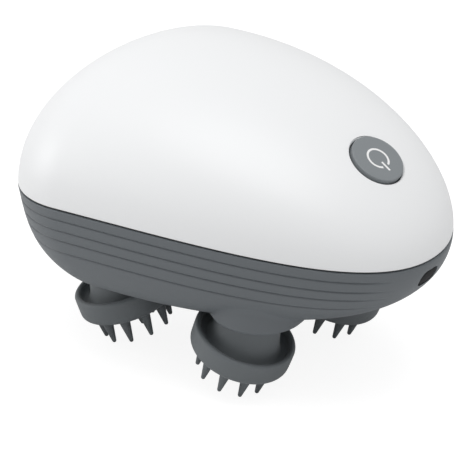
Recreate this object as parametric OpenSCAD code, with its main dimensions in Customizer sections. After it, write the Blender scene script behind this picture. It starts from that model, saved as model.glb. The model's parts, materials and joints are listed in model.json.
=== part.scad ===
// Electric scalp massager: an egg-shaped palm unit whose four tilted silicone heads
// turn on upright spindles driven by one motor. +X points to the nose, +Z up, and
// z = 0 is the surface on which the lowest fingertips rest.

/* [Body] */
// Length of the shells from tail to nose
body_l = 115; // [110:1:120]
// Width of the shells
body_w = 89; // [86:1:94]
// Height of the white dome above the joint line
dome_h = 30; // [29:0.2:34]
// Depth of the grey bowl below the joint line, before its bottom is cut flat
bowl_d = 28; // [27.5:0.1:29]
// Distance from mid-length back to the widest station
widest_back = 25.7; // [20:0.1:26]
// Drop of the joint line 50 mm from its highest point
joint_arch = 4.4; // [3:0.1:5]
// Wall thickness of both shells
wall = 2; // [1.8:0.1:2.2]
// Gap between the two shells, filled by the gasket
joint_gap = 0.5; // [0.4:0.1:0.8]
// Depth of the four grooves round the bowl
groove_depth = 0.4; // [0.3:0.05:0.7]

/* [Heads] */
// Lean of each silicone head from the vertical
lean = 18.8; // [14:0.1:20]
// Radius of a head's lip
lip_r = 13.1; // [12.5:0.1:13.5]
// Radius of a head's base, where the fingers start
base_r = 13; // [11.5:0.1:13]
// Length of a finger of the outer ring
finger_l = 7.1; // [5.5:0.1:7.2]
// Length of the shorter fingers inside the ring
inner_finger_l = 5; // [4:0.1:6]
// Fingers in the outer ring of a head
outer_fingers = 10; // [8:1:12]
// Fingers in the inner ring of a head
inner_fingers = 5; // [4:1:6]
// Radius of the round boss above each head
boss_r = 12.1; // [11.5:0.1:12.5]

/* [Button and port] */
// Distance of the power button's centre from mid-length
button_x = 39.8; // [38:0.1:41]
// Radius of the power button
button_r = 7; // [6.5:0.1:7.2]
// Travel of the power button
button_travel = 0.5; // [0.3:0.1:0.6]
// Width of the charging port's plug
port_w = 7; // [6.9:0.1:8.2]
// Height of the charging port's plug
port_h = 4.7; // [4.2:0.1:5]

/* [Gear train] */
// Module of the head gears
head_module = 1; // [1]
// Teeth of the centre gear
centre_teeth = 44; // [44]
// Teeth of each spindle gear
spindle_teeth = 18; // [18]
// Teeth of the reduction gear's small end
small_teeth = 12; // [12]
// Module of the motor stage
motor_module = 0.5; // [0.5]
// Teeth of the reduction gear's large end
large_teeth = 60; // [60]
// Teeth of the motor pinion
pinion_teeth = 8; // [8]

/* [Hidden] */
SIDES = ["front_right", "front_left", "rear_right", "rear_left"];
$fn = 48;

white = [0.93, 0.93, 0.94];
grey = [0.36, 0.38, 0.4];
rubber_black = [0.07, 0.07, 0.08];
steel = [0.75, 0.76, 0.78];
nylon = [0.9, 0.88, 0.82];
board_green = [0.08, 0.32, 0.2];

// --- outline of the shells ---
nose_l = body_l / 2 + widest_back;
tail_l = body_l / 2 - widest_back;
half_w = body_w / 2;
arch_x = 2.4;
// Powers of each outline: 2 is an ellipse, and a pair of powers makes an uneven one
plan_nose = 2.09;
plan_tail = 2;
dome_nose = 2;
dome_side = 2.17;
bowl_nose = [1.44, 3.5];
bowl_tail = [4.46, 1.2];
bowl_side = [2.29, 5.1];
// Shift of the bowl's sections toward the nose, from the joint line to the bottom
bowl_shift = 6.4;
ring_points = 64;
eps = 0.01;

// --- heads, measured along each head's own leaning axis from where it meets the spindle ---
lean_drop = 21.9;
lip_s = 10.1;
base_s = 16.6;
trough_s = 12.2;
trough_r = 9.9;
stem_r = 7.3;
stem_rise = 9.5;
stem_curve = 1.9;
tip_r = 0.55;
finger_root_r = 1.6;
outer_ring_r = 8.7;
inner_ring_r = 4.6;
finger_sink = 0.6;
// Compass direction in which each head leans, and the turn of its fingers on it
lean_toward = [187, 195, 31, 145];
finger_turn = [30, 27, 14, 0];
tip_s = base_s + finger_l - tip_r;
// Height of the joint line's highest point above the fingertips' surface
joint_z = lean_drop + tip_s * cos(lean) + outer_ring_r * sin(lean) + tip_r;

// --- heights inside, all from the joint line ---
bottom_z = joint_z - 24.8;
floor_z = bottom_z + wall;
boss_z = bottom_z - 0.4;
gear_z = joint_z - 16;
gear_t = 5;
large_z = gear_z + gear_t + 0.5;
large_t = 2.5;
plate_z = large_z + large_t + 0.6;
plate_t = 2;
deck_z = plate_z + plate_t;

// --- spindles and gear centres ---
train_x = -3.9;
spindle_y = 19.9;
spindle_reach = sqrt(pow(head_module * (centre_teeth + spindle_teeth) / 2, 2) - pow(spindle_y, 2));
spindles = [for (sx = [1, -1], sy = [-1, 1]) [train_x + sx * spindle_reach, sy * spindle_y]];
reduction_x = train_x - head_module * (centre_teeth + small_teeth) / 2;
motor_x = reduction_x + motor_module * (large_teeth + pinion_teeth) / 2;
shaft_r = 1.5;
run = 0.05;
pressure_angle = 25;
backlash = 0.08;

// --- motor, battery and boards ---
motor_r = 12.1;
motor_h = 25;
motor_shaft_r = 0.75;
cell_r = 9.2;
cell_l = 35;
cell_x = -36.7;
cell_z = deck_z + cell_r + 0.9;
board_t = 1.2;
main_board_size = [25, 26];
main_board_pos = [12, -13, deck_z + 2.4];
port_z = joint_z - 10.4;
socket_size = [5.6, 7.4, 2.8];
charge_board_pos = [40.4, -8, port_z - socket_size[2] / 2 - board_t];
charge_board_size = [9, 16];
plug_pull = 8;
plate_posts = [[train_x, -31], [train_x, 31], [-44, -20], [-44, 20], [36, -7], [36, 7]];
shell_posts = [[-49.8, -8], [-49.8, 8], [38, -17.5], [38, 17.5]];
main_board_posts = [[15, -10], [32, 10]];
charge_posts = [[43.2, -5.6], [43.2, 5.6]];
screw_r = 1.1;
head_r = 2;

// --- button, along the dome's normal at its centre ---
function joint_drop(x) = joint_arch * pow((x - arch_x) / 50, 2);
function swell(u, powers) = pow(max(0, 1 - pow(u, powers[0])), 1 / powers[1]);
function taper(u, power) = swell(u, [power, power]);
button_s = (button_x + widest_back) / nose_l;
button_u = taper(button_s, dome_nose);
button_z = joint_z + dome_h * button_u - joint_drop(button_x);
button_slope = atan(dome_h / nose_l * pow(button_s / button_u, dome_nose - 1)
                    + 2 * joint_arch * (button_x - arch_x) / pow(50, 2));
button_gap = 0.3;
button_proud = 0.55;
flange_z = -4.3;
plunger_z = -5.6;
switch_top = -6.6;
switch_h = 3.2;
button_board_z = switch_top - switch_h - board_t;
board_post_y = 10.3;

// --- skins: stacked egg-shaped rings ---
function spow(v, p) = sign(v) * pow(abs(v), p);
function oval(t, nose, tail, side, p_nose, p_tail) =
    let (p = cos(t) >= 0 ? p_nose : p_tail, reach = cos(t) >= 0 ? nose : tail)
    [reach * spow(cos(t), 2 / p), side * spow(sin(t), 2 / p)];

// Ring of the dome at height share u, drawn in by inset and raised by lift
function dome_ring(u, inset = 0, lift = 0) = [
    for (i = [0:ring_points - 1])
    let (o = oval(360 * i / ring_points, (nose_l - inset) * taper(u, dome_nose),
                  (tail_l - inset) * taper(u, dome_nose),
                  (half_w - inset) * taper(u, dome_side), plan_nose, plan_tail),
         x = o[0] - widest_back)
    [x, o[1], joint_z + u * (dome_h - inset) - joint_drop(x) + lift]];

// Share of a groove's depth: it fades out on both sides of the port
function groove_share(t) = let (a = min(t, 360 - t)) min(1, max(0, (a - 14) / 10));

// Ring of the bowl at depth share u, drawn in by inset and by a groove's depth
function bowl_ring(u, inset = 0, lift = 0, groove = 0) = [
    for (i = [0:ring_points - 1])
    let (t = 360 * i / ring_points, cut = inset + groove * groove_share(t),
         o = oval(t, (nose_l - cut) * swell(u, bowl_nose), (tail_l - cut) * swell(u, bowl_tail),
                  (half_w - cut) * swell(u, bowl_side), plan_nose, plan_tail),
         x = o[0] - widest_back + bowl_shift * u)
    [x, o[1], joint_z - u * (bowl_d - inset) - joint_drop(x) + lift]];

function ring_side(k, n) = [for (j = [0:n - 1]) let (a = k * n + j, b = k * n + (j + 1) % n)
    each [[a, a + n, b], [b, a + n, b + n]]];
// Strips across a ring between its left and right points, which share their x
function ring_cap(k, n) = [for (j = [0:n / 2 - 1]) let (a = k * n, c = (n - j) % n)
    each (j == 0 ? [[a, a + 1, a + n - 1]]
          : j == n / 2 - 1 ? [[a + j, a + j + 1, a + c]]
          : [[a + j, a + j + 1, a + c - 1], [a + j, a + c - 1, a + c]])];
function flip(faces) = [for (f = faces) [f[2], f[1], f[0]]];

// Solid over stacked rings that rises to a point, or hangs to one when down is true
module skin(rings, apex, down = false) {
    n = ring_points;
    last = (len(rings) - 1) * n;
    fan = [for (j = [0:n - 1]) [last + j, last + n, last + (j + 1) % n]];
    faces = concat(ring_cap(0, n), [for (k = [0:len(rings) - 2]) each ring_side(k, n)], fan);
    polyhedron(concat([for (r = rings) each r], [apex]), down ? flip(faces) : faces, convexity = 6);
}

// Slab between two rings
module slab(low, high) {
    n = ring_points;
    polyhedron(concat(low, high), concat(ring_cap(0, n), ring_side(0, n), flip(ring_cap(1, n))),
               convexity = 6);
}

dome_steps = [for (i = [0:11]) sin(90 * i / 12)];
apex_x = -widest_back;
module dome_solid(inset = 0, lift = joint_gap / 2) {
    start = inset > 0 ? [dome_ring(0, inset, -2)] : [];
    skin(concat(start, [for (u = dome_steps) dome_ring(u, inset, lift)]),
         [apex_x, 0, joint_z + dome_h - inset - joint_drop(apex_x) + lift]);
}

groove_drops = [2.9, 5.9, 8.8, 12.4];
groove_half = 0.4;
lower_steps = [for (i = [0:5]) sin(36 + 9 * i)];
module bowl_solid(inset = 0, grooves = false) {
    start = inset > 0 ? [bowl_ring(0, inset, 2)] : [];
    walls = grooves
        ? concat([bowl_ring(0, 0, -joint_gap / 2)],
                 [for (d = groove_drops)
                  each [bowl_ring((d - groove_half) / bowl_d), bowl_ring(d / bowl_d, 0, 0, groove_depth),
                        bowl_ring((d + groove_half) / bowl_d)]])
        : [for (i = [0:3]) bowl_ring(sin(9 * i), inset)];
    x = apex_x + bowl_shift;
    skin(concat(start, walls, [for (u = lower_steps) bowl_ring(u, inset)]),
         [x, 0, joint_z - bowl_d + inset - joint_drop(x)], down = true);
}

module above(z) {
    translate([-body_l, -body_l, z]) cube([2 * body_l, 2 * body_l, body_l]);
}

module bowl_outside(grooves = false) {
    intersection() {
        bowl_solid(grooves = grooves);
        above(bottom_z);
    }
}

module at_spindle(i) {
    translate([spindles[i][0], spindles[i][1], 0]) children();
}

module on_button() {
    translate([button_x, 0, button_z]) rotate([0, button_slope, 0]) children();
}

module post(p, z0, z1, r) {
    translate([p[0], p[1], z0]) cylinder(r = r, h = z1 - z0);
}

// --- shells ---
shell_post_r = 3.4;
module upper_shell() {
    color(white) difference() {
        union() {
            difference() {
                dome_solid();
                dome_solid(wall, 0);
            }
            intersection() {
                dome_solid();
                union() {
                    for (p = shell_posts)
                        post(p, joint_z - joint_drop(p[0]) + 0.6, joint_z + body_l, shell_post_r);
                    on_button() for (y = [-board_post_y, board_post_y])
                        translate([0, y, button_board_z + board_t]) cylinder(r = 1.9, h = 12);
                    on_button() translate([0, 0, -4.6]) difference() {
                        cylinder(r = button_r + 2.4, h = 6);
                        translate([0, 0, -1]) cylinder(r = button_r + 1.3, h = 8);
                    }
                }
            }
        }
        on_button() translate([0, 0, -4]) cylinder(r = button_r + button_gap, h = 12);
        on_button() for (y = [-board_post_y, board_post_y])
            translate([0, y, button_board_z]) cylinder(r = screw_r, h = 7);
        for (p = shell_posts) post(p, joint_z - 10, joint_z + 6, screw_r);
    }
}

module lower_shell() {
    color(grey) difference() {
        union() {
            difference() {
                bowl_outside(grooves = true);
                intersection() {
                    bowl_solid(wall);
                    above(floor_z);
                }
            }
            intersection() {
                bowl_outside();
                union() {
                    for (p = shell_posts)
                        post(p, bottom_z - 1, joint_z - joint_drop(p[0]) - 0.6, shell_post_r);
                    for (p = plate_posts) post(p, bottom_z - 1, plate_z, 3);
                    for (p = charge_posts) post(p, bottom_z - 1, charge_board_pos[2], 2);
                    post([train_x, 0], bottom_z, gear_z - 0.4, 4);
                    post([reduction_x, 0], bottom_z, gear_z - 0.4, 4);
                    for (p = spindles) post(p, bottom_z, floor_z + 5.2, 5.4);
                }
            }
            for (i = [0:3]) at_spindle(i) spindle_boss();
        }
        for (i = [0:3]) at_spindle(i) {
            translate([0, 0, boss_z - 1]) cylinder(r = seal_r, h = seal_h + 1);
            translate([0, 0, boss_z]) cylinder(r = bush_r, h = 20);
        }
        post([train_x, 0], bottom_z + 1, joint_z, 2);
        post([reduction_x, 0], bottom_z + 1, joint_z, shaft_r);
        for (p = shell_posts) {
            post(p, 0, joint_z, screw_r);
            post(p, 0, joint_z - 11, 2.6);
        }
        for (p = plate_posts) post(p, plate_z - 6, plate_z + 1, screw_r);
        for (p = charge_posts) post(p, charge_board_pos[2] - 4, charge_board_pos[2] + 1, screw_r);
        port_block(port_w, port_h, body_l);
        port_block(socket_bay_w, port_h, socket_front + 0.05 - port_start);
    }
}

// Round boss with a rolled lower edge
boss_roll = 1.6;
module spindle_boss() {
    top = joint_z - 16.5;
    arc = [for (a = [-90:15:0])
           [boss_r - boss_roll + boss_roll * cos(a), boss_z + boss_roll + boss_roll * sin(a)]];
    intersection() {
        rotate_extrude() polygon(concat([[0, boss_z]], arc, [[boss_r, top], [boss_r - wall, top],
            [boss_r - wall, bottom_z + wall - 0.2], [0, bottom_z + wall - 0.2]]));
        translate([0, 0, boss_z - 1]) cylinder(r = boss_r + 1, h = top - boss_z + 1);
    }
}

port_round = 2;
port_start = 50;
socket_bay_w = 8.2;
// Rounded block that reaches forward through the nose from x0
module port_block(w, h, reach, x0 = port_start, r = port_round) {
    for (k = [0, 1]) translate([x0, -w / 2 + k * r, port_z - h / 2 + (1 - k) * r])
        cube([reach, w - 2 * k * r, h - 2 * (1 - k) * r]);
    for (y = [-1, 1], z = [-1, 1]) translate([x0, y * (w / 2 - r), port_z + z * (h / 2 - r)])
        rotate([0, 90, 0]) cylinder(r = r, h = reach);
}

gasket_in = [0.6, 1.9];
module shell_gasket() {
    t = joint_gap / 2 - 0.02;
    color(rubber_black) difference() {
        slab(dome_ring(0, gasket_in[0], -t), dome_ring(0, gasket_in[0], t));
        slab(dome_ring(0, gasket_in[1], -1), dome_ring(0, gasket_in[1], 1));
    }
}

// --- button group ---
symbol_r = 2.85;
symbol_w = 0.56;
symbol_gap = 21;
bar_start = 1.3;
bar_l = 2.9;
symbol_deep = 0.3;
module symbol_shape(grow = 0) {
    w = symbol_w / 2 + grow;
    difference() {
        circle(r = symbol_r + w);
        circle(r = symbol_r - w);
        polygon([[0, 0], 6 * [cos(symbol_gap), sin(symbol_gap)], 6 * [cos(symbol_gap), -sin(symbol_gap)]]);
    }
    translate([bar_start, -w]) square([bar_l, 2 * w]);
}

module power_button() {
    edge = 0.25;
    flange_top = flange_z + 0.8;
    arc = [for (a = [0:30:90])
           [button_r - edge + edge * cos(a), button_proud - edge + edge * sin(a)]];
    color(grey) on_button() difference() {
        rotate_extrude() polygon(concat(
            [[0, flange_z], [button_r + 1, flange_z], [button_r + 1, flange_top], [button_r, flange_top]],
            arc, [[0, button_proud]]));
        translate([0, 0, button_proud - symbol_deep]) linear_extrude(1) symbol_shape();
        translate([0, 0, flange_z - 1]) difference() {
            cylinder(r = button_r - 1, h = 3.6);
            cylinder(r = 2, h = 3.6);
        }
    }
}

module power_symbol() {
    color("white") on_button() translate([0, 0, button_proud - symbol_deep])
        linear_extrude(symbol_deep + 0.04) symbol_shape();
}

module switch_plunger() {
    color(rubber_black) on_button() {
        translate([0, 0, switch_top - 0.9]) cylinder(r = 1.6, h = plunger_z - switch_top + 0.9);
        translate([0, 0, plunger_z - eps]) cylinder(r = 1.2, h = flange_z - plunger_z + eps);
    }
}

module push_switch() {
    color(steel) on_button() translate([0, 0, switch_top - switch_h]) difference() {
        translate([-3, -3, 0]) cube([6, 6, switch_h]);
        translate([0, 0, switch_h - 1.7]) cylinder(r = 1.6 + run, h = 3);
    }
}

module button_board() {
    color(board_green) on_button() translate([-6, -12.6, button_board_z]) difference() {
        cube([12, 25.2, board_t]);
        for (y = [-board_post_y, board_post_y]) translate([6, 12.6 + y, -1]) cylinder(r = screw_r, h = 4);
    }
}

// --- charging port ---
module port_plug() {
    fit = 0.3;
    color(rubber_black) {
        intersection() {
            bowl_solid(0.15);
            port_block(port_w - 2 * fit, port_h - 2 * fit, 10, socket_front + 0.1, port_round - fit);
        }
        translate([socket_front - 2.4, -2.7, port_z - 0.75]) cube([3, 5.4, 1]);
    }
}

socket_front = charge_board_pos[0] + charge_board_size[0] + 3.6;
module charging_socket() {
    back = socket_front - socket_size[0];
    inner = socket_size - [1, 0.7, 0.7];
    color(steel) translate([back, -socket_size[1] / 2, port_z - socket_size[2] / 2]) difference() {
        cube(socket_size);
        translate([1 + eps, 0.35, 0.35]) cube(inner);
    }
}

module socket_tongue() {
    color(rubber_black) translate([socket_front - socket_size[0] + 1.1, -2.6, port_z + 0.65])
        cube([socket_size[0] - 1.7, 5.2, 0.35]);
}

module charging_board() {
    color(board_green) difference() {
        translate(charge_board_pos) cube([charge_board_size[0], charge_board_size[1], board_t]);
        for (p = charge_posts) post(p, charge_board_pos[2] - 1, joint_z, screw_r);
    }
}

// --- gears ---
function involute(r, rb) = r <= rb ? 0 : sqrt(pow(r / rb, 2) - 1) * 180 / PI - acos(rb / r);
// Half of a tooth's angle at radius r
function half_tooth(r, z, m) = let (rp = m * z / 2, rb = rp * cos(pressure_angle))
    90 / z - backlash / 4 / rp * 180 / PI + involute(rp, rb) - involute(max(r, rb), rb);
function polar(r, a) = [r * cos(a), r * sin(a)];

module gear_shape(z, m, phase = 0, addendum = 0.9) {
    root = m * (z / 2 - 1.15);
    tip = m * (z / 2 + addendum);
    levels = [for (k = [0:4]) root + (tip - root) * k / 4];
    polygon([for (i = [0:z - 1]) let (a = phase + 360 * i / z) each concat(
        [for (k = [0:4]) polar(levels[k], a - half_tooth(levels[k], z, m))],
        [for (k = [4:-1:0]) polar(levels[k], a + half_tooth(levels[k], z, m))])]);
}

// Phase of the second gear that meshes with the first, seen from the first at angle toward
function mesh_phase(z1, phase1, toward, z2) = toward + 180 + (180 - z1 * (phase1 - toward)) / z2;

module centre_gear() {
    color(nylon) translate([train_x, 0, gear_z]) difference() {
        union() {
            linear_extrude(gear_t) difference() {
                gear_shape(centre_teeth, head_module);
                for (a = [0:60:300]) rotate(a) translate([12.2, 0]) circle(r = 4.2);
            }
            cylinder(r = 4.5, h = gear_t);
        }
        translate([0, 0, -1]) cylinder(r = 2 + run, h = gear_t + 2);
    }
}

module centre_axle() {
    color(steel) post([train_x, 0], bottom_z + 1, gear_z + gear_t + 0.4, 2);
}

module reduction_gear() {
    phase = mesh_phase(centre_teeth, 0, 180, small_teeth);
    color(nylon) translate([reduction_x, 0, gear_z]) difference() {
        union() {
            linear_extrude(large_z - gear_z + eps) gear_shape(small_teeth, head_module, phase);
            translate([0, 0, large_z - gear_z]) linear_extrude(large_t) difference() {
                gear_shape(large_teeth, motor_module, 0, 0.7);
                for (a = [22.5:45:340]) rotate(a) translate([10.6, 0]) circle(r = 2.4);
            }
        }
        translate([0, 0, -1]) cylinder(r = shaft_r + run, h = 20);
    }
}

module reduction_axle() {
    color(steel) post([reduction_x, 0], bottom_z + 1, deck_z - 0.2, shaft_r);
}

module motor_pinion() {
    phase = mesh_phase(large_teeth, 0, 0, pinion_teeth);
    color([0.8, 0.65, 0.3]) translate([motor_x, 0, large_z - 0.1]) difference() {
        linear_extrude(large_t + 0.2) gear_shape(pinion_teeth, motor_module, phase);
        translate([0, 0, -1]) cylinder(r = motor_shaft_r, h = 8);
    }
}

module spindle_gear(i) {
    toward = atan2(spindles[i][1], spindles[i][0] - train_x);
    phase = mesh_phase(centre_teeth, 0, toward, spindle_teeth);
    color(nylon) at_spindle(i) translate([0, 0, gear_z]) difference() {
        union() {
            linear_extrude(gear_t) gear_shape(spindle_teeth, head_module, phase);
            translate([0, 0, gear_t - eps]) cylinder(r = 3, h = 2);
        }
        translate([0, 0, -3]) cylinder(r = shaft_r, h = 20);
    }
}

// --- motor ---
module gearbox_plate() {
    color(nylon) difference() {
        translate([0, 0, plate_z]) linear_extrude(plate_t) difference() {
            union() {
                translate([-41, -23]) square([73, 46]);
                translate([-45.6, -20]) square([10, 40]);
                translate([30, -11]) square([9.5, 22]);
                translate([train_x - 8, -30]) square([16, 60]);
                for (p = plate_posts) translate(p) circle(r = 4);
            }
            for (p = spindles) translate(p) circle(r = shaft_r + run);
            for (p = plate_posts) translate(p) circle(r = screw_r);
            translate([reduction_x, 0]) circle(r = shaft_r);
            translate([motor_x, 0]) circle(r = 3.1);
            for (y = [-8, 8]) translate([motor_x, y]) circle(r = screw_r);
            for (p = main_board_posts) translate(p) circle(r = screw_r);
        }
    }
    color(nylon) for (p = main_board_posts) difference() {
        post(p, deck_z - eps, main_board_pos[2], 2.2);
        post(p, deck_z - 1, main_board_pos[2] + 1, screw_r);
    }
}

module motor_can() {
    color(steel) translate([motor_x, 0, deck_z]) difference() {
        union() {
            cylinder(r = motor_r, h = motor_h);
            translate([0, 0, -plate_t + 0.4]) cylinder(r = 3, h = plate_t);
        }
        translate([0, 0, 1]) cylinder(r = motor_r - 1, h = motor_h);
        translate([0, 0, -3]) cylinder(r = motor_shaft_r + run, h = 8);
        for (y = [-8, 8]) translate([0, y, -1]) cylinder(r = screw_r, h = 4);
    }
}

module motor_cap() {
    color(rubber_black) translate([motor_x, 0, deck_z + motor_h - 3]) difference() {
        union() {
            cylinder(r = motor_r - 1, h = 3);
            translate([0, 0, 3 - eps]) cylinder(r = 4, h = 1.2);
        }
        translate([0, 0, -1]) cylinder(r = motor_shaft_r + run, h = 4);
        for (y = [-7, 7]) translate([-1, y - 0.25, -1]) cube([2, 0.5, 6]);
    }
}

module motor_terminals() {
    color([0.8, 0.65, 0.3]) for (y = [-7, 7])
        translate([motor_x - 1, y - 0.25, deck_z + motor_h - 2.5]) cube([2, 0.5, 4.3]);
}

module motor_shaft() {
    color(steel) {
        post([motor_x, 0], large_z - 0.2, deck_z + motor_h - 0.5, motor_shaft_r);
        difference() {
            post([motor_x, 0], magnet_z, magnet_z + magnet_h, armature_r);
            for (a = [0:72:288]) translate([motor_x, 0, magnet_z - 1]) rotate(a)
                translate([armature_r - 1, -0.5, 0]) cube([2, 1, magnet_h + 2]);
        }
    }
}

armature_r = 5;
magnet_z = deck_z + 5;
magnet_h = 12;
module motor_magnets() {
    color(steel) translate([motor_x, 0, magnet_z]) difference() {
        cylinder(r = motor_r - 1.05, h = magnet_h);
        translate([0, 0, -1]) cylinder(r = armature_r + 0.6, h = magnet_h + 2);
        translate([-1.5, -motor_r, -1]) cube([3, 2 * motor_r, magnet_h + 2]);
    }
}

// --- battery and boards ---
module battery_cell() {
    color([0.15, 0.35, 0.6]) translate([cell_x, 0, cell_z]) rotate([90, 0, 0]) {
        cylinder(r = cell_r, h = cell_l, center = true);
        cylinder(r = 3, h = cell_l + 1.4, center = true);
    }
}

module battery_cradle() {
    color(rubber_black) difference() {
        translate([cell_x - 8, -15, deck_z]) cube([16, 30, 6]);
        translate([cell_x, 0, cell_z]) rotate([90, 0, 0]) cylinder(r = cell_r + 0.05, h = 40, center = true);
    }
}

module main_board() {
    color(board_green) difference() {
        translate(main_board_pos) cube([main_board_size[0], main_board_size[1], board_t]);
        for (p = main_board_posts) post(p, deck_z, joint_z + 10, screw_r);
    }
}

board_top = main_board_pos[2] + board_t;
module controller_chip() {
    color(rubber_black) translate([18, 0, board_top]) cube([7, 7, 1.2]);
}

module charging_chip() {
    color(rubber_black) translate([27, -8, board_top]) cube([4, 5, 1.4]);
}

// --- leads: eight-sided tubes along hand-laid routes ---
function unit(v) = v / norm(v);
function tube_ring(pts, i, r) =
    let (a = pts[max(i - 1, 0)], b = pts[min(i + 1, len(pts) - 1)], d = unit(b - a),
         s = unit(cross(d, [0.02, 0.01, 1])), u = cross(s, d))
    [for (k = [0:7]) pts[i] + r * (cos(45 * k) * s + sin(45 * k) * u)];

module lead(pts, r = 0.55) {
    n = 8;
    m = len(pts);
    rings = [for (i = [0:m - 1]) each tube_ring(pts, i, r)];
    sides = [for (i = [0:m - 2], k = [0:n - 1]) let (a = i * n + k, b = i * n + (k + 1) % n)
        each [[a, b, a + n], [b, b + n, a + n]]];
    ends = [for (k = [1:n - 2]) each [[0, k + 1, k], [(m - 1) * n, (m - 1) * n + k, (m - 1) * n + k + 1]]];
    polyhedron(rings, concat(sides, ends));
}

module battery_leads() {
    color("red") for (y = [-1, 1]) lead([
        [cell_x + 1, y * 18.8, cell_z - 2], [-32, y * 20.5, cell_z - 6], [-26, y * 20.5, deck_z + 2.4],
        [-14, y * 17, deck_z + 1.4], [2, y * 15, deck_z + 1.8], [10, y * 12, board_top + 0.9],
        [14, y * 8 + 2, board_top + 0.56]]);
}

module motor_leads() {
    top = deck_z + motor_h;
    color("black") for (y = [-1, 1]) lead([
        [motor_x + 1.6, y * 7, top + 1], [motor_x + 10.5, y * 7, top + 0.9], [3, y * 6, top - 6],
        [9, y * 5, top - 14], [14, y * 4, board_top + 3], [16, y * 3.2, board_top + 0.56]]);
}

function in_button(x, y, z) = [button_x + x * cos(button_slope) + z * sin(button_slope), y,
                               button_z - x * sin(button_slope) + z * cos(button_slope)];
module button_leads() {
    color("blue") for (y = [-1, 1]) lead([
        in_button(-4, y * 1.6, button_board_z - 0.56), in_button(-5, y * 1.6, button_board_z - 1.6),
        [28, y * 1.8, board_top + 6],
        [27.4, y * 2, board_top + 2], [28.6, y * 2, board_top + 0.56]]);
}

module charging_leads() {
    color("yellow") for (y = [-1, 1]) lead([
        [41.6, y * 2.2, charge_board_pos[2] + board_t + 0.56], [40.6, y * 2.4, charge_board_pos[2] + 3.4],
        [41, y * 3, deck_z - 1], [40.4, y * 3, deck_z + 1.4], [38.6, y * 3, board_top + 0.7],
        [36, y * 3, board_top + 0.56]]);
}

// --- screws ---
module screw(l, r = head_r) {
    difference() {
        union() {
            translate([0, 0, -l]) cylinder(r = screw_r, h = l);
            cylinder(r = r, h = 1.2);
        }
        for (a = [0, 90]) rotate(a) translate([-1, -0.2, 0.6]) cube([2, 0.4, 1]);
    }
}

module shell_screws() {
    color(steel) for (p = shell_posts) translate([p[0], p[1], joint_z - 11]) mirror([0, 0, 1]) screw(15);
}

module plate_screws() {
    color(steel) for (p = plate_posts) translate([p[0], p[1], deck_z]) screw(6);
}

module motor_screws() {
    color(steel) for (y = [-8, 8]) translate([motor_x, y, plate_z]) mirror([0, 0, 1]) screw(2.9, 1.8);
}

module board_screws() {
    color(steel) {
        for (p = main_board_posts) translate([p[0], p[1], board_top]) screw(3.4);
        for (p = charge_posts) translate([p[0], p[1], charge_board_pos[2] + board_t]) screw(4);
        on_button() for (y = [-board_post_y, board_post_y])
            translate([0, y, button_board_z]) mirror([0, 0, 1]) screw(4.5);
    }
}

// --- spindles and heads ---
seal_r = 4.2;
seal_h = 1.8;
bush_r = 3;
module spindle_bush(i) {
    color([0.75, 0.55, 0.3]) at_spindle(i) difference() {
        post([0, 0], boss_z + seal_h, floor_z + 5, bush_r);
        post([0, 0], 0, joint_z, shaft_r + run);
    }
}

module shaft_seal(i) {
    color(rubber_black) at_spindle(i) difference() {
        post([0, 0], boss_z + 0.1, boss_z + seal_h, seal_r);
        post([0, 0], 0, joint_z, shaft_r + run);
    }
}

hub_top = boss_z - 0.5;
shaft_end = boss_z - 3.6;
module spindle_shaft(i) {
    color(steel) at_spindle(i) post([0, 0], shaft_end, deck_z + 0.4, shaft_r);
}

module on_head(i) {
    at_spindle(i) translate([0, 0, joint_z - lean_drop])
        rotate([0, 0, lean_toward[i] - 180]) rotate([0, lean, 0]) children();
}

hub_flange_r = 9.8;
hub_flange_t = 1.2;
hub_fit = 0.02;
flange_s = 14.3;
core_r = 6.6;
// Hard core of a head, with a flange that holds the silicone
module hub_solid(i, grow = 0) {
    intersection() {
        on_head(i) translate([0, 0, -flange_s - eps]) cylinder(r = core_r + grow, h = flange_s + 3);
        at_spindle(i) post([0, 0], 0, hub_top + grow, 20);
    }
    on_head(i) translate([0, 0, -flange_s - hub_flange_t - grow])
        cylinder(r = hub_flange_r + grow, h = hub_flange_t + 2 * grow);
}

module head_hub(i) {
    color(grey) difference() {
        hub_solid(i);
        at_spindle(i) post([0, 0], shaft_end, joint_z, shaft_r);
    }
}

// Half section of the dished cup and its flared stem, which rises past the head's top
function cup_wall(k) = lip_r - (lip_r - base_r) * pow(k, 2);
lip_round = 0.8;
base_round = 1.6;
module cup_section() {
    lip_z = -lip_s - lip_round;
    base_z = -base_s + base_round;
    rim_in = lip_r - 2 * lip_round;
    base = [for (a = [-90:30:0])
            [base_r - base_round + base_round * cos(a), base_z + base_round * sin(a)]];
    outer = [for (k = [0.7, 0.45, 0.2]) [cup_wall(k), lip_z + k * (base_z - lip_z)]];
    lip = [for (a = [0:30:180]) [lip_r - lip_round + lip_round * cos(a), lip_z + lip_round * sin(a)]];
    dish = [for (a = [30:30:90])
            [trough_r + (rim_in - trough_r) * cos(a), lip_z - (trough_s + lip_z) * sin(a)]];
    flare = [for (k = [0.2:0.2:1])
             [trough_r - (trough_r - stem_r) * k, -trough_s + stem_rise * pow(k, stem_curve)]];
    polygon(concat([[0, -base_s]], base, outer, lip, dish, flare, [[stem_r, 0], [0, 0]]));
}

module finger(l) {
    reach = l - tip_r;
    translate([0, 0, -base_s - reach]) {
        cylinder(r1 = tip_r, r2 = finger_root_r, h = reach + finger_sink);
        sphere(r = tip_r);
    }
}

module finger_ring(count, r, l, start = 0) {
    for (k = [0:count - 1]) rotate(start + 360 * k / count) translate([r, 0, 0]) finger(l);
}

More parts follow.
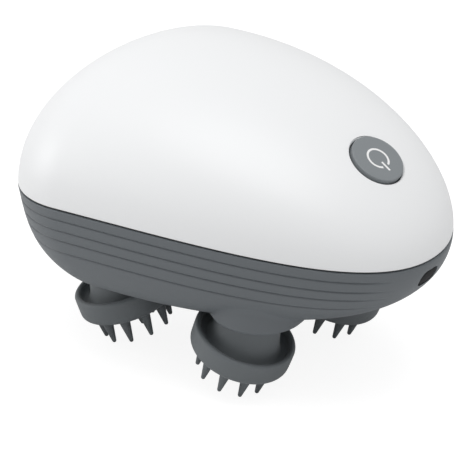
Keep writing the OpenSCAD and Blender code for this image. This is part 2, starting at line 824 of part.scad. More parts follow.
module silicone_head(i) {
    color(grey) difference() {
        on_head(i) {
            rotate_extrude($fn = 96) cup_section();
            rotate(finger_turn[i]) {
                finger_ring(outer_fingers, outer_ring_r, finger_l);
                finger_ring(inner_fingers, inner_ring_r, inner_finger_l, 180 / inner_fingers);
            }
            finger(inner_finger_l);
        }
        hub_solid(i, hub_fit);
        at_spindle(i) post([0, 0], hub_top, joint_z, 20);
    }
}

upper_shell();
lower_shell();
shell_gasket();
power_button();
power_symbol();
switch_plunger();
push_switch();
button_board();
port_plug();
charging_socket();
socket_tongue();
charging_board();
gearbox_plate();
centre_gear();
centre_axle();
reduction_gear();
reduction_axle();
motor_can();
motor_cap();
motor_terminals();
motor_magnets();
motor_shaft();
motor_pinion();
battery_cell();
battery_cradle();
main_board();
controller_chip();
charging_chip();
battery_leads();
motor_leads();
button_leads();
charging_leads();
shell_screws();
plate_screws();
motor_screws();
board_screws();
for (i = [0:3]) {
    silicone_head(i);
    head_hub(i);
    spindle_shaft(i);
    spindle_gear(i);
    spindle_bush(i);
    shaft_seal(i);
}
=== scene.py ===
import json
import math

import bmesh
import bpy
import numpy as np
from mathutils import Matrix, Vector


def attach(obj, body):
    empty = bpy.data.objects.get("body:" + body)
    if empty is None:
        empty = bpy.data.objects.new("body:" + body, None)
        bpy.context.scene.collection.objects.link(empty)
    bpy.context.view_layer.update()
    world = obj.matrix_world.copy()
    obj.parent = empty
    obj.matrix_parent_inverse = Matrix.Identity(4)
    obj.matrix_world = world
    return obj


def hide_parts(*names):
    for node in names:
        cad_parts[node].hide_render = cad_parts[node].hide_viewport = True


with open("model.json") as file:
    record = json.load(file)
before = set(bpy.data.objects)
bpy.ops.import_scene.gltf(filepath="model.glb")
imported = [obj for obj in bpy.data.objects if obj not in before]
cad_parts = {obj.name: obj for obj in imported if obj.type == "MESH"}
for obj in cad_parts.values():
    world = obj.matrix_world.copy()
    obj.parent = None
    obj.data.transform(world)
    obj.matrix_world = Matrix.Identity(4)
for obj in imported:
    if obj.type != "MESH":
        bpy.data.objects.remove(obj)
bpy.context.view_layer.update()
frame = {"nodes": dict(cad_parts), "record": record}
MM = 0.001

# --- the part's own sizes, in millimetres, as in its source ---
BODY_L, BODY_W, DOME_H, BOWL_D = 115, 89, 30, 28
WIDEST_BACK, WALL, JOINT_GAP = 25.7, 2, 0.5
# The joint line drops by JOINT_ARCH at ARCH_REACH from its highest point, which is at ARCH_X
JOINT_ARCH, ARCH_X, ARCH_REACH = 4.4, 2.4, 50
NOSE_L, TAIL_L, HALF_W = BODY_L / 2 + WIDEST_BACK, BODY_L / 2 - WIDEST_BACK, BODY_W / 2
PLAN_NOSE, PLAN_TAIL = 2.09, 2.0
DOME_NOSE, DOME_SIDE = (2.0, 2.0), (2.17, 2.17)
BOWL_NOSE, BOWL_TAIL, BOWL_SIDE, BOWL_SHIFT = (1.44, 3.5), (4.46, 1.2), (2.29, 5.1), 6.4
EDGE_ROUND = 0.3
# The grooves' depths below the joint line, how deep they are cut and half their width
GROOVES, GROOVE_DEEP, GROOVE_HALF = (2.9, 5.9, 8.8, 12.4), 0.4, 0.3
# The heads lean from a point LEAN_DROP below the joint line: radii, and distances down the axis from there
LEAN, LEAN_DROP = math.radians(18.8), 21.9
LIP_R, BASE_R, STEM_R, CORE_R = 13.1, 13.0, 7.3, 6.6
LIP_S, BASE_S, LIP_ROUND, BASE_ROUND = 10.1, 16.6, 0.8, 1.6
TROUGH_S, TROUGH_R, STEM_RISE, STEM_CURVE = 12.2, 9.9, 9.5, 1.9
TIP_R, FINGER_R, FINGER_FOOT = 0.55, 1.6, 0.55
# Each ring of fingers: how many, on what radius, how long and turned by how much
OUTER_RING, INNER_RING, MIDDLE = (10, 8.7, 7.1, 0), (5, 4.6, 5.0, 36), (1, 0, 5.0, 0)
TIP_S = BASE_S + OUTER_RING[2] - TIP_R
JOINT_Z = LEAN_DROP + TIP_S * math.cos(LEAN) + OUTER_RING[1] * math.sin(LEAN) + TIP_R
BOTTOM_DROP, BOSS_PROUD, PORT_DROP = 24.8, 0.4, 10.4
BOTTOM_Z = JOINT_Z - BOTTOM_DROP
BOSS_Z = BOTTOM_Z - BOSS_PROUD
BOSS_R, BOSS_FILLET, BOSS_ROLL, BUSH_R = 12.1, 1.6, 1.6, 4.3
# The gears' centre, and the distance from it to each spindle
TRAIN_X, SPINDLE_REACH, SPINDLE_Y = -3.9, 31, 19.9
SPINDLE_X = math.sqrt(SPINDLE_REACH ** 2 - SPINDLE_Y ** 2)
PORT_Z, PORT_W, PORT_H, PORT_R = JOINT_Z - PORT_DROP, 7.0, 4.7, 2.0
PORT_FROM, PORT_TO, PLUG_GAP, PLUG_BACK = 50.5, 64, 0.3, 53.1
BUTTON_X, BUTTON_R, BUTTON_GAP, BUTTON_PROUD, BUTTON_EDGE = 39.8, 7.0, 0.3, 0.55, 0.25
BUTTON_UNDER, FLANGE, HOLE_LIP, LIP_DEEP = -4.3, 0.8, 0.35, -0.78
# Each head: its spindle's place, the compass direction of its lean, and the turn of its fingers
HEADS = {
    "front_right": ((TRAIN_X + SPINDLE_X, -SPINDLE_Y), 187, 30),
    "front_left": ((TRAIN_X + SPINDLE_X, SPINDLE_Y), 195, 27),
    "rear_right": ((TRAIN_X - SPINDLE_X, -SPINDLE_Y), 31, 14),
    "rear_left": ((TRAIN_X - SPINDLE_X, SPINDLE_Y), 145, 0),
}


# --- outlines ---
def turn(n):
    return np.linspace(0, 2 * np.pi, n, endpoint=False)


def joint_drop(x):
    return JOINT_ARCH * ((x - ARCH_X) / ARCH_REACH) ** 2


def swell(u, powers):
    """How much of the full width is left at share u of a shell's height."""
    return np.maximum(0, 1 - np.asarray(u, float) ** powers[0]) ** (1 / powers[1])


def oval(t, nose, tail, side):
    """Points of an egg-shaped outline with different reaches to the nose and the tail."""
    c, s = np.cos(t), np.sin(t)
    p = np.where(c >= 0, PLAN_NOSE, PLAN_TAIL)
    reach = np.where(c >= 0, nose, tail)
    return reach * np.sign(c) * np.abs(c) ** (2 / p), side * np.sign(s) * np.abs(s) ** (2 / p)


def dome_ring(u, n, inset=0.0, lift=0.0):
    x, y = oval(turn(n), (NOSE_L - inset) * swell(u, DOME_NOSE), (TAIL_L - inset) * swell(u, DOME_NOSE),
                (HALF_W - inset) * swell(u, DOME_SIDE))
    x = x - WIDEST_BACK
    return np.stack([x, y, JOINT_Z + u * (DOME_H - inset) - joint_drop(x) + lift], 1)


def groove_cut(u, n):
    """Depth of the grooves at depth share u, fading out on both sides of the port."""
    a = np.degrees(np.minimum(turn(n), 2 * np.pi - turn(n)))
    share = np.clip((a - 14) / 10, 0, 1)
    cut = sum(GROOVE_DEEP * math.exp(-((u * BOWL_D - d) / GROOVE_HALF) ** 2 * 1.6) for d in GROOVES)
    return cut * share


def bowl_ring(u, n, inset=0.0, lift=0.0, floor=BOTTOM_Z, grooved=False):
    cut = inset + (groove_cut(u, n) if grooved else 0)
    x, y = oval(turn(n), (NOSE_L - cut) * swell(u, BOWL_NOSE), (TAIL_L - cut) * swell(u, BOWL_TAIL),
                (HALF_W - cut) * swell(u, BOWL_SIDE))
    x = x - WIDEST_BACK + BOWL_SHIFT * u
    z = JOINT_Z - u * (BOWL_D - inset) - joint_drop(x) + lift
    return np.stack([x, y, floor_at(z, floor)], 1)


def floor_at(z, floor, soft=0.35):
    """Flattens what lies below the floor, with a small round where it starts."""
    return floor + soft * np.logaddexp(0, (z - floor) / soft)


# --- mesh helpers ---
def make(name, verts, faces, smooth=True, sharp=None):
    mesh = bpy.data.meshes.new(name)
    mesh.from_pydata([tuple(v) for v in np.asarray(verts, float) * MM], [], faces)
    mesh.validate()
    obj = bpy.data.objects.new(name, mesh)
    bpy.context.scene.collection.objects.link(obj)
    tidy_normals(mesh)
    if smooth:
        mesh.shade_smooth()
        if sharp:
            mesh.set_sharp_from_angle(angle=math.radians(sharp))
    return obj


def tidy_normals(mesh):
    bm = bmesh.new()
    bm.from_mesh(mesh)
    bmesh.ops.recalc_face_normals(bm, faces=bm.faces)
    bm.to_mesh(mesh)
    bm.free()


def loft(rings, wrap=False, start=None, end=None, base=0):
    """Vertices and quads over rings of equal length; a start or end point closes that end."""
    n, m = len(rings[0]), len(rings)
    verts = [v for r in rings for v in r]
    faces = []
    for k in range(m if wrap else m - 1):
        a, b = k * n, ((k + 1) % m) * n
        faces += [(a + j, a + (j + 1) % n, b + (j + 1) % n, b + j) for j in range(n)]
    if start is not None:
        faces += [(len(verts), (j + 1) % n, j) for j in range(n)]
        verts.append(start)
    if end is not None:
        faces += [(len(verts), (m - 1) * n + j, (m - 1) * n + (j + 1) % n) for j in range(n)]
        verts.append(end)
    return np.array(verts, float), [tuple(base + i for i in f) for f in faces]


def lathe(profile, n=96):
    """Rings of a turned solid about +Z from (radius, height) pairs."""
    t = turn(n)
    return [np.stack([r * np.cos(t), r * np.sin(t), np.full(n, z)], 1) for r, z in profile]


def arc(cx, cz, r, a0, a1, n):
    return [(cx + r * math.cos(math.radians(a)), cz + r * math.sin(math.radians(a)))
            for a in np.linspace(a0, a1, n)]


def boolean(obj, cutter, operation="DIFFERENCE"):
    mod = obj.modifiers.new("cut", "BOOLEAN")
    mod.object, mod.operation, mod.solver = cutter, operation, "EXACT"
    graph = bpy.context.evaluated_depsgraph_get()
    mesh = bpy.data.meshes.new_from_object(obj.evaluated_get(graph))
    obj.modifiers.clear()
    obj.data = mesh
    bpy.data.objects.remove(cutter)
    mesh.shade_smooth()
    mesh.set_sharp_from_angle(angle=math.radians(35))


def join(parts):
    """One vertex and face list from several."""
    verts, faces, base = [], [], 0
    for v, f in parts:
        verts.append(v)
        faces += [tuple(base + i for i in g) for g in f]
        base += len(v)
    return np.concatenate(verts), faces


# --- materials ---
def plastic(name, colour, rough, grain=0.02, scale=900, patch=0.03, patch_scale=14, spec=0.5, sheen=0.0,
            rough_swing=0.06, coat=0.0):
    """Moulded plastic or rubber: fine grain in the bump, soft patches in colour and roughness."""
    mat = bpy.data.materials.new(name)
    mat.use_nodes = True
    nt = mat.node_tree
    bsdf = nt.nodes["Principled BSDF"]
    coord = nt.nodes.new("ShaderNodeTexCoord")
    cloud = nt.nodes.new("ShaderNodeTexNoise")
    cloud.inputs["Scale"].default_value = patch_scale
    cloud.inputs["Detail"].default_value = 3
    fine = nt.nodes.new("ShaderNodeTexNoise")
    fine.inputs["Scale"].default_value = scale
    fine.inputs["Detail"].default_value = 2
    for node in (cloud, fine):
        nt.links.new(coord.outputs["Object"], node.inputs["Vector"])
    ramp = nt.nodes.new("ShaderNodeValToRGB")
    ramp.color_ramp.elements[0].position, ramp.color_ramp.elements[1].position = 0.3, 0.7
    ramp.color_ramp.elements[0].color = (*[c * (1 - patch) for c in colour], 1)
    ramp.color_ramp.elements[1].color = (*[min(1, c * (1 + patch)) for c in colour], 1)
    nt.links.new(cloud.outputs["Fac"], ramp.inputs["Fac"])
    nt.links.new(ramp.outputs["Color"], bsdf.inputs["Base Color"])
    swing = nt.nodes.new("ShaderNodeMapRange")
    swing.inputs["To Min"].default_value = max(0.02, rough - rough_swing)
    swing.inputs["To Max"].default_value = min(1, rough + rough_swing)
    nt.links.new(fine.outputs["Fac"], swing.inputs["Value"])
    nt.links.new(swing.outputs["Result"], bsdf.inputs["Roughness"])
    bump = nt.nodes.new("ShaderNodeBump")
    bump.inputs["Strength"].default_value = grain
    bump.inputs["Distance"].default_value = 0.0003
    nt.links.new(fine.outputs["Fac"], bump.inputs["Height"])
    nt.links.new(bump.outputs["Normal"], bsdf.inputs["Normal"])
    bsdf.inputs["Specular IOR Level"].default_value = spec
    if sheen:
        bsdf.inputs["Sheen Weight"].default_value = sheen
    if coat:
        bsdf.inputs["Coat Weight"].default_value = coat
    return mat


def metal(name, colour, rough=0.3, scale=400, swing=0.12):
    mat = plastic(name, colour, rough, grain=0.05, scale=scale, rough_swing=swing)
    mat.node_tree.nodes["Principled BSDF"].inputs["Metallic"].default_value = 1
    return mat


def srgb(*levels):
    return tuple(((v / 255 + 0.055) / 1.055) ** 2.4 if v > 10 else v / 255 / 12.92 for v in levels)


WHITE = plastic("shell_white", srgb(237, 238, 239), 0.42, grain=0.03, scale=2600, patch=0.006)
GREY = plastic("shell_grey", srgb(96, 101, 105), 0.5, grain=0.06, scale=2400, patch=0.02)
BUTTON = plastic("button_grey", srgb(126, 131, 134), 0.45, grain=0.04, scale=2600, patch=0.012)
SYMBOL = plastic("symbol_white", srgb(240, 240, 240), 0.4, grain=0.02, scale=2600, patch=0.005)
SILICONE = plastic("silicone_grey", srgb(100, 105, 108), 0.62, grain=0.08, scale=1800, patch=0.025, sheen=0.1)
HUB = plastic("hub_grey", srgb(88, 91, 94), 0.55, grain=0.05, scale=1800, patch=0.02)
SEAL = plastic("seal_rubber", srgb(38, 39, 41), 0.7, grain=0.08, scale=1500)
PLUG = plastic("plug_rubber", srgb(17, 18, 20), 0.7, grain=0.1, scale=1800, patch=0.04, spec=0.2)
CAD_MATERIALS = {
    "seal_rubber": SEAL, "shaft_seal_rubber": SEAL, "symbol_white": SYMBOL, "button_grey": BUTTON,
    "shell_white": WHITE, "shell_grey": GREY, "plug_rubber": PLUG, "silicone": SILICONE, "hub_grey": HUB,
    "plunger_black": plastic("plunger_black", srgb(40, 40, 42), 0.5),
    "tongue_black": plastic("tongue_black", srgb(34, 34, 36), 0.45),
    "cap_black": plastic("cap_black", srgb(46, 46, 48), 0.5),
    "chip_black": plastic("chip_black", srgb(30, 30, 32), 0.45),
    "nylon": plastic("nylon", srgb(226, 222, 208), 0.5, patch=0.03),
    "board_green": plastic("board_green", srgb(30, 96, 62), 0.3, coat=0.3, patch=0.05, patch_scale=300),
    "cell_wrap": plastic("cell_wrap", srgb(58, 92, 150), 0.3, coat=0.2),
    "magnet_grey": plastic("magnet_grey", srgb(70, 70, 72), 0.6, grain=0.15),
    "lead_red": plastic("lead_red", srgb(170, 36, 34), 0.45),
    "lead_black": plastic("lead_black", srgb(34, 34, 34), 0.45),
    "lead_blue": plastic("lead_blue", srgb(40, 70, 160), 0.45),
    "lead_yellow": plastic("lead_yellow", srgb(206, 180, 48), 0.45),
    "steel": metal("steel", srgb(190, 191, 194), 0.28),
    "switch_metal": metal("switch_metal", srgb(186, 187, 190), 0.35),
    "socket_metal": metal("socket_metal", srgb(180, 181, 184), 0.32),
    "can_metal": metal("can_metal", srgb(170, 171, 175), 0.35),
    "screw_steel": metal("screw_steel", srgb(176, 177, 180), 0.35),
    "brass": metal("brass", srgb(205, 170, 96), 0.3),
    "bronze": metal("bronze", srgb(176, 134, 88), 0.45),
}
for part in frame["record"]["subparts"]:
    node = frame["nodes"][part["node"]]
    node.data.materials.clear()
    node.data.materials.append(CAD_MATERIALS[part["material_slot"]])


def dress(obj, mat, body, slot, *nodes):
    obj.data.materials.clear()
    obj.data.materials.append(mat)
    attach(obj, body)
    if nodes:
        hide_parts(*nodes)
    return obj


# --- button's own frame ---
def button_frame():
    share = (BUTTON_X + WIDEST_BACK) / NOSE_L
    u = math.sqrt(1 - share ** 2)
    slope = math.atan(DOME_H / NOSE_L * share / u + 2 * JOINT_ARCH * (BUTTON_X - ARCH_X) / ARCH_REACH ** 2)
    place = Vector((BUTTON_X, 0, JOINT_Z + DOME_H * u - joint_drop(BUTTON_X)))
    return Matrix.Translation(place) @ Matrix.Rotation(slope, 4, "Y")


BUTTON_AT = button_frame()


def placed(verts, matrix):
    m = np.array(matrix)
    return np.asarray(verts) @ m[:3, :3].T + m[:3, 3]


# --- upper shell ---
def upper_shell():
    n = 288
    rim = [dome_ring(0.0, n, inset=EDGE_ROUND * (1 - math.sin(a)),
                     lift=JOINT_GAP / 2 + EDGE_ROUND * (1 - math.cos(a)))
           for a in np.radians([0, 25, 50, 70])]
    shares = [0.01 + 0.99 * math.sin(math.radians(a)) for a in np.linspace(0, 89.2, 56)]
    outer = rim + [dome_ring(u, n, lift=JOINT_GAP / 2) for u in shares]
    inner = [dome_ring(math.sin(math.radians(a)), n, inset=WALL, lift=JOINT_GAP / 2)
             for a in np.linspace(88, 0, 24)]
    top = JOINT_Z + DOME_H - joint_drop(-WIDEST_BACK) + JOINT_GAP / 2
    a, fa = loft(outer, end=(-WIDEST_BACK, 0, top))
    b, fb = loft(inner, start=(-WIDEST_BACK, 0, top - WALL))
    verts, faces = join([(a, fa), (b, fb)])
    last = len(a) + (len(inner) - 1) * n
    faces += [(j, (j + 1) % n, last + (j + 1) % n, last + j) for j in range(n)]
    shell = make("upper_shell_skin", verts, faces)
    hole, low, high = BUTTON_R + BUTTON_GAP, -5, 9
    lip = arc(hole + HOLE_LIP, LIP_DEEP, HOLE_LIP, 180, 90, 6)
    profile = [(hole, low), (hole, LIP_DEEP)] + lip + [(hole + HOLE_LIP, high)]
    v, f = loft(lathe(profile, 160), start=(0, 0, low), end=(0, 0, high))
    boolean(shell, make("cutter", placed(v, BUTTON_AT), f))
    return dress(shell, WHITE, "housing", "shell_white", "upper_shell")


# --- lower shell ---
def bowl_height(x, y):
    """Height of the bowl's outer surface below the joint line at a point in plan."""
    low, high = 0.0, 0.9999
    for _ in range(50):
        u = (low + high) / 2
        dx = x + WIDEST_BACK - BOWL_SHIFT * u
        p = PLAN_NOSE if dx >= 0 else PLAN_TAIL
        reach = NOSE_L * swell(u, BOWL_NOSE) if dx >= 0 else TAIL_L * swell(u, BOWL_TAIL)
        if abs(dx / reach) ** p + abs(y / (HALF_W * swell(u, BOWL_SIDE))) ** p < 1:
            low = u
        else:
            high = u
    return float(floor_at(JOINT_Z - low * BOWL_D - joint_drop(x), BOTTOM_Z))


def boss(cx, cy):
    """Round boss that grows out of the bowl with a fillet and ends in a rolled edge."""
    n = 144
    t = turn(n)
    dirs = np.stack([np.cos(t), np.sin(t)], 1)
    wall_z = np.array([bowl_height(cx + BOSS_R * c, cy + BOSS_R * s) for c, s in dirs])
    room = (wall_z - BOSS_Z - BOSS_ROLL) * 0.6
    reach = np.clip(np.minimum(BOSS_FILLET, room), 0.15, BOSS_FILLET)
    far_z = np.array([bowl_height(cx + (BOSS_R + r) * c, cy + (BOSS_R + r) * s)
                      for r, (c, s) in zip(reach, dirs)])
    start = np.maximum(wall_z - reach, BOSS_Z + 0.2)
    rings = []

    def ring(radius, z):
        rings.append(np.stack([cx + radius * dirs[:, 0], cy + radius * dirs[:, 1], z], 1))

    ring(np.full(n, BOSS_R - WALL), wall_z + 0.6)
    for s in np.linspace(0, 1, 9):
        z = (1 - s) ** 2 * (far_z + 0.03) + 2 * s * (1 - s) * wall_z + s ** 2 * start
        ring(BOSS_R + reach * (1 - s) ** 2, z)
    for a in np.radians(np.linspace(0, 90, 9)):
        drop = np.minimum(BOSS_ROLL, start - BOSS_Z)
        ring(np.full(n, BOSS_R - BOSS_ROLL + BOSS_ROLL * math.cos(a)), BOSS_Z + drop * (1 - math.sin(a)))
    ring(np.full(n, BUSH_R), np.full(n, BOSS_Z))
    ring(np.full(n, BUSH_R - 0.05), np.full(n, BOSS_Z + 2.0))
    return loft(rings, wrap=True)


def port_outline(gap, n):
    """The port's rounded outline, drawn in by a gap; n points to a corner."""
    w, h, r = PORT_W / 2 - gap, PORT_H / 2 - gap, PORT_R
    corners = [(w - r, h - r, 0), (r - w, h - r, 90), (r - w, r - h, 180), (w - r, r - h, 270)]
    return np.array([p for cy, cz, a0 in corners for p in arc(cy, cz, r, a0, a0 + 90, n)])


def lower_shell():
    n = 320
    rim = [bowl_ring(0.0, n, inset=EDGE_ROUND * (1 - math.sin(a)),
                     lift=-JOINT_GAP / 2 - EDGE_ROUND * (1 - math.cos(a)))
           for a in np.radians([0, 25, 50, 70])]
    depths = [0.35, 0.8, 1.4, 2.0]
    for d in GROOVES:
        depths += [d + k * 0.11 for k in range(-8, 9)]
    depths += [4.35, 7.3, 10.0, 10.6, 11.1, 13.6, 14.2]
    depths += list(np.linspace(15, 27.9, 46))
    depths = sorted(depths)
    outer = rim + [bowl_ring(d / BOWL_D, n, lift=-JOINT_GAP / 2 * max(0, 1 - d / 2), grooved=True)
                   for d in depths]
    inner = [bowl_ring(u, n, inset=WALL, lift=-JOINT_GAP / 2, floor=BOTTOM_Z + WALL)
             for u in np.sin(np.radians(np.linspace(86, 0, 30)))]
    a, fa = loft(outer, end=(*outer[-1].mean(0)[:2], BOTTOM_Z))
    b, fb = loft(inner, start=(*inner[0].mean(0)[:2], BOTTOM_Z + WALL))
    verts, faces = join([(a, fa), (b, fb)])
    last = len(a) + (len(inner) - 1) * n
    faces += [(j, (j + 1) % n, last + (j + 1) % n, last + j) for j in range(n)]
    shell = make("lower_shell_skin", verts, faces)
    outline = port_outline(0, 9)
    rings = [np.stack([np.full(len(outline), x), outline[:, 0], outline[:, 1] + PORT_Z], 1)
             for x in (PORT_FROM, PORT_TO)]
    v, f = loft(rings, start=(PORT_FROM, 0, PORT_Z), end=(PORT_TO, 0, PORT_Z))
    boolean(shell, make("cutter", v, f))
    bosses = join([boss(*spot) for spot, _, _ in HEADS.values()])
    studs = make("bosses", *bosses, sharp=40)
    dress(studs, GREY, "housing", "shell_grey")
    studs.name = "spindle_bosses"
    return dress(shell, GREY, "housing", "shell_grey", "lower_shell")


# --- silicone heads ---
def cup_wall(k):
    return LIP_R - (LIP_R - BASE_R) * k ** 2


def cup_profile():
    """(radius, distance down the head's axis) from the trough over the lip to the base."""
    lip, low, rim_in = LIP_ROUND, BASE_ROUND, LIP_R - 2 * LIP_ROUND
    lip_s, base_s = LIP_S + lip, BASE_S - low
    dish = [(TROUGH_R + (rim_in - TROUGH_R) * math.cos(a), lip_s + (TROUGH_S - lip_s) * math.sin(a))
            for a in np.radians(np.linspace(90, 8, 9))]
    edge = [(LIP_R - lip - lip * math.cos(a), lip_s - lip * math.sin(a))
            for a in np.radians(np.linspace(0, 180, 15))]
    wall = [(cup_wall(k), lip_s + k * (base_s - lip_s)) for k in np.linspace(0.08, 0.96, 12)]
    base = [(BASE_R - low + low * math.cos(a), base_s + low * math.sin(a))
            for a in np.radians(np.linspace(0, 90, 11))]
    return dish + edge + wall + base + [(BASE_R * k, BASE_S) for k in (0.75, 0.5, 0.25)]


def finger_profile(length):
    foot, reach = FINGER_FOOT, length - TIP_R
    flare = [(FINGER_R + foot * (1 - math.sin(a)), BASE_S + foot * (1 - math.cos(a)) - 0.02)
             for a in np.radians([0, 25, 50, 72])]
    shaft = [(FINGER_R + (TIP_R - FINGER_R) * k, BASE_S + reach * k) for k in np.linspace(0.12, 1, 8)]
    tip = [(TIP_R * math.cos(a), BASE_S + reach + TIP_R * math.sin(a))
           for a in np.radians([18, 36, 54, 72])]
    return [(FINGER_R + foot, BASE_S - 0.6)] + flare + shaft + tip


def down(profile, n):
    return lathe([(r, -s) for r, s in profile], n)


def head_place(spot, toward):
    place = Matrix.Translation((*spot, JOINT_Z - LEAN_DROP))
    return place @ Matrix.Rotation(math.radians(toward - 180), 4, "Z") @ Matrix.Rotation(LEAN, 4, "Y")


def stem(place, n):
    """Rings of the flared stem, from the hub's bore over its level top down to the trough."""
    m, t = np.array(place), turn(n)
    up = np.cos(t) * m[2, 0] + np.sin(t) * m[2, 1]
    flare = [(TROUGH_R - (TROUGH_R - STEM_R) * k, TROUGH_S - STEM_RISE * k ** STEM_CURVE)
             for k in np.linspace(1, 0.06, 20)]
    rings = [(CORE_R + 0.02, np.full(n, TROUGH_S))]
    for r, s in [(CORE_R + 0.02, 0)] + [(STEM_R, flare[0][1] * k) for k in (0, 0.03, 0.5, 0.97)] + flare:
        level = (m[2, 3] + r * up - BOSS_Z + 0.5) / m[2, 2]
        rings.append((r, np.maximum(level, s)))
    return [np.stack([r * np.cos(t), r * np.sin(t), -s], 1) for r, s in rings]


def head(name, spot, toward, fingers_turn):
    place, n = head_place(spot, toward), 160
    rings = stem(place, n) + down(cup_profile(), n)
    pieces = [loft(rings, start=(0, 0, -TROUGH_S), end=(0, 0, -BASE_S))]
    for count, radius, length, turned in (OUTER_RING, INNER_RING, MIDDLE):
        v, f = loft(down(finger_profile(length), 28),
                    start=(0, 0, -BASE_S + 0.6), end=(0, 0, -BASE_S - length))
        for k in range(count):
            a = math.radians(fingers_turn + turned + 360 * k / count)
            pieces.append((v + [radius * math.cos(a), radius * math.sin(a), 0], f))
    verts, faces = join(pieces)
    cup = make("massage_head_" + name, placed(verts, place), faces, sharp=50)
    return dress(cup, SILICONE, "head_" + name, "silicone", "silicone_head_" + name)


# --- power button and port plug ---
def power_button():
    edge, under, wide = BUTTON_EDGE, BUTTON_UNDER, BUTTON_R + 1
    crown = [(BUTTON_R - edge - (BUTTON_R - edge) * k, BUTTON_PROUD) for k in (0.25, 0.5, 0.75)]
    profile = ([(wide, under), (wide, under + FLANGE), (BUTTON_R, under + FLANGE)]
               + arc(BUTTON_R - edge, BUTTON_PROUD - edge, edge, 0, 90, 10) + crown)
    v, f = loft(lathe(profile, 128), start=(0, 0, under), end=(0, 0, BUTTON_PROUD))
    obj = make("power_button_cap", placed(v, BUTTON_AT), f, sharp=40)
    return dress(obj, BUTTON, "button", "button_grey", "power_button")


def nose_x(y, z):
    """Where the bowl's nose is at a height and a distance from the middle."""
    x = BODY_L / 2 - 1.5
    for _ in range(40):
        u = max(0.0, (JOINT_Z - z - joint_drop(x)) / BOWL_D)
        side = 1 - abs(y / (HALF_W * swell(u, BOWL_SIDE))) ** PLAN_NOSE
        x = -WIDEST_BACK + BOWL_SHIFT * u + NOSE_L * swell(u, BOWL_NOSE) * side ** (1 / PLAN_NOSE)
    return float(x)


def port_plug():
    edge = port_outline(PLUG_GAP, 12)
    rings = [np.stack([np.full(len(edge), PLUG_BACK), edge[:, 0], edge[:, 1] + PORT_Z], 1)]
    # Each ring of the face: its size, and how far behind the shell's surface it lies
    for size, back in ((1.0, 0.45), (0.985, 0.28), (0.955, 0.18), (0.9, 0.15), (0.6, 0.15), (0.3, 0.15)):
        y, z = edge[:, 0] * size, edge[:, 1] * size + PORT_Z
        x = np.array([nose_x(a, b) for a, b in zip(y, z)]) - back
        rings.append(np.stack([x, y, z], 1))
    (x0, y0, z0), (x1, y1, z1) = (50.6, -2.7, PORT_Z - 0.75), (53.6, 2.7, PORT_Z + 0.25)
    corners = [(x, y, z) for x in (x0, x1) for y, z in ((y0, z0), (y1, z0), (y1, z1), (y0, z1))]
    sides = [(0, 1, 2, 3), (4, 5, 6, 7), (0, 1, 5, 4), (1, 2, 6, 5), (2, 3, 7, 6), (3, 0, 4, 7)]
    tongue = (np.array(corners, float), sides)
    plug = loft(rings, start=(PLUG_BACK, 0, PORT_Z), end=(nose_x(0, PORT_Z) - 0.15, 0, PORT_Z))
    obj = make("port_plug_face", *join([plug, tongue]), sharp=50)
    return dress(obj, PLUG, "plug", "plug_rubber", "port_plug")


upper_shell()
lower_shell()
for side, (spot, toward, fingers_turn) in HEADS.items():
    head(side, spot, toward, fingers_turn)
power_button()
port_plug()


# --- floor, light and camera ---
def camera_ray_white(nt, shader, white, glossy=True):
    """Gives the camera, and what metal and glass reflect, a white surface or sky."""
    path = nt.nodes.new("ShaderNodeLightPath")
    seen = path.outputs["Is Camera Ray"]
    if glossy:
        for name in ("Is Glossy Ray", "Is Transmission Ray"):
            either = nt.nodes.new("ShaderNodeMath")
            either.operation = "MAXIMUM"
            nt.links.new(seen, either.inputs[0])
            nt.links.new(path.outputs[name], either.inputs[1])
            seen = either.outputs[0]
    mix = nt.nodes.new("ShaderNodeMixShader")
    nt.links.new(seen, mix.inputs[0])
    nt.links.new(shader, mix.inputs[1])
    nt.links.new(white, mix.inputs[2])
    return mix.outputs[0]


def world_light(level):
    world = bpy.data.worlds.new("studio")
    bpy.context.scene.world = world
    world.use_nodes = True
    nt = world.node_tree
    lit = nt.nodes["Background"]
    lit.inputs["Color"].default_value = (1, 1, 1, 1)
    lit.inputs["Strength"].default_value = level
    white = nt.nodes.new("ShaderNodeBackground")
    white.inputs["Strength"].default_value = 1
    out = camera_ray_white(nt, lit.outputs[0], white.outputs[0])
    nt.links.new(out, nt.nodes["World Output"].inputs["Surface"])


def floor():
    bm = bmesh.new()
    bmesh.ops.create_grid(bm, x_segments=4, y_segments=4, size=4)
    mesh = bpy.data.meshes.new("studio_floor")
    bm.to_mesh(mesh)
    bm.free()
    obj = bpy.data.objects.new("studio_floor", mesh)
    obj.location.z = -0.0002
    bpy.context.scene.collection.objects.link(obj)
    mat = bpy.data.materials.new("floor_white")
    mat.use_nodes = True
    nt = mat.node_tree
    bsdf = nt.nodes["Principled BSDF"]
    bsdf.inputs["Base Color"].default_value = (0.9, 0.9, 0.9, 1)
    bsdf.inputs["Roughness"].default_value = 1
    bsdf.inputs["Specular IOR Level"].default_value = 0
    glow = nt.nodes.new("ShaderNodeEmission")
    glow.inputs["Strength"].default_value = 0.88
    add = nt.nodes.new("ShaderNodeAddShader")
    half = nt.nodes.new("ShaderNodeBsdfDiffuse")
    half.inputs["Color"].default_value = (0.3, 0.3, 0.3, 1)
    nt.links.new(half.outputs[0], add.inputs[0])
    nt.links.new(glow.outputs[0], add.inputs[1])
    out = camera_ray_white(nt, bsdf.outputs[0], add.outputs[0], glossy=False)
    nt.links.new(out, nt.nodes["Material Output"].inputs["Surface"])
    mesh.materials.append(mat)


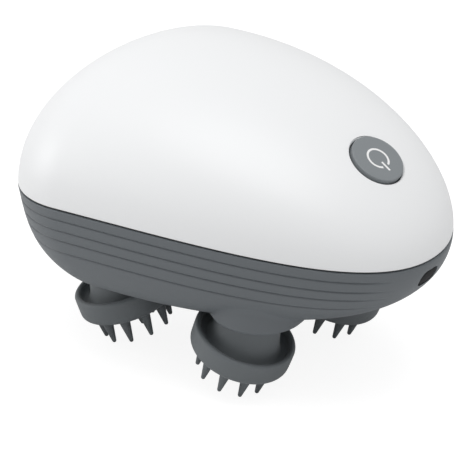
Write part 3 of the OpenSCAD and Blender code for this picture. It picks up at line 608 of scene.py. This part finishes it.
def softbox(name, place, aim, size, watts):
    light = bpy.data.lights.new(name, "AREA")
    light.shape, light.size, light.energy = "DISK", size, watts
    obj = bpy.data.objects.new(name, light)
    obj.location = place
    obj.rotation_euler = (Vector(aim) - Vector(place)).to_track_quat("-Z", "Y").to_euler()
    bpy.context.scene.collection.objects.link(obj)


def camera():
    """Stands at the photo's angle and shows the joint line's middle at pixel `at` of the picture."""
    az, el, roll = math.radians(36.664), math.radians(25.975), math.radians(1.429)
    picture, focal, at = 470, 3192.6, (244.898, 172.407)
    distance, centre = 0.804653, picture / 2
    right = Vector((math.cos(az), math.sin(az), 0))
    back = Vector((math.sin(az) * math.cos(el), -math.cos(az) * math.cos(el), math.sin(el)))
    up = back.cross(right)
    turned = right * math.cos(roll) + up * math.sin(roll)
    raised = up * math.cos(roll) - right * math.sin(roll)
    yaw, pitch = math.atan2(at[0] - centre, focal), math.atan2(at[1] - centre, focal)
    across = turned * math.cos(yaw) - back * math.sin(yaw)
    ahead = -turned * math.sin(yaw) - back * math.cos(yaw)
    upward = raised * math.cos(pitch) - ahead * math.sin(pitch)
    forward = raised * math.sin(pitch) + ahead * math.cos(pitch)
    data = bpy.data.cameras.new("camera")
    data.sensor_width = 36
    data.lens = focal / picture * data.sensor_width
    data.shift_x, data.shift_y = -0.5 / picture, 0.5 / picture
    data.clip_end = 20
    obj = bpy.data.objects.new("camera", data)
    turn_to = Matrix((across, upward, -forward)).transposed()
    obj.matrix_world = Matrix.Translation(Vector((0, 0, JOINT_Z * MM)) + back * distance) @ turn_to.to_4x4()
    bpy.context.scene.collection.objects.link(obj)
    bpy.context.scene.camera = obj


camera()
floor()
world_light(0.5)
softbox("top_light", (0.0, -0.1, 1.1), (0, 0, 0.05), 0.9, 5.8)
softbox("left_light", (-1.0, -0.5, 0.22), (0, 0, 0.04), 0.6, 2.9)
softbox("right_light", (0.45, -0.25, 1.15), (0, 0, 0.04), 0.5, 1.1)
bpy.context.scene.view_settings.view_transform = "Standard"
